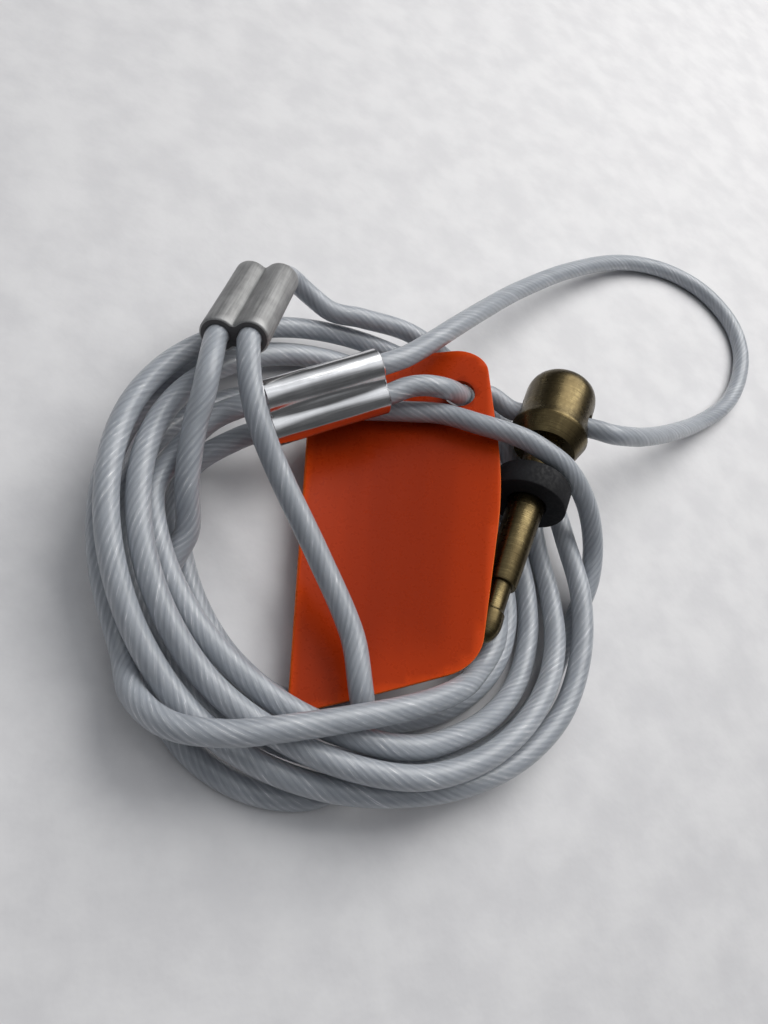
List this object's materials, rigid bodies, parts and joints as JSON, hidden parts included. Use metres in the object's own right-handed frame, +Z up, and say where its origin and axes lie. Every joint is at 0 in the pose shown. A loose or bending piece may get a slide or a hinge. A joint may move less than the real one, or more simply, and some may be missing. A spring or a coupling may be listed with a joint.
{
  "type": "pull pin lanyard",
  "caption": "Hand-wound coated wire rope lanyard with pressed sleeves forming an eye at each end, a translucent orange tag and a turned brass pull pin with a rubber washer.",
  "frame": {"origin": "middle of the whole part's plan box, on the surface that it lies on", "axes": "+Z up, away from the surface; +X towards the tether eye's bend side, across the picture; +Y away from the viewer"},
  "size_m": [0.1674, 0.1416, 0.0259],
  "materials": {
    "coated_rope": "clear grey coating over a stranded steel rope",
    "bare_aluminium": "matt, with streaks along it",
    "bright_aluminium": "bright where it was pressed",
    "orange_sheet": "translucent, glossy",
    "aged_brass": "turned, darkened with age",
    "black_rubber": "matt"
  },
  "bodies": {
    "lanyard": {"lanyard_coil": "coated_rope", "anchor_eye": "coated_rope", "tether_eye": "coated_rope", "anchor_sleeve": "bare_aluminium", "tether_sleeve": "bright_aluminium"},
    "tag": {"tag": "orange_sheet"},
    "pin": {"pull_pin": "aged_brass", "seal_washer": "black_rubber"}
  },
  "joints": [
    {"name": "pin_swing", "type": "hinge", "parent": "lanyard", "child": "pin", "pos_m": [0.00342, 0.00143, 0.01516], "axis": [0.7995, -0.4197, 0.4297], "range_deg": [0, 1.5]},
    {"name": "tag_swing", "type": "hinge", "parent": "lanyard", "child": "tag", "pos_m": [-0.01607, 0.00498, 0.01359], "axis": [0, 0, -1], "range_deg": [0, 2]}
  ]
}
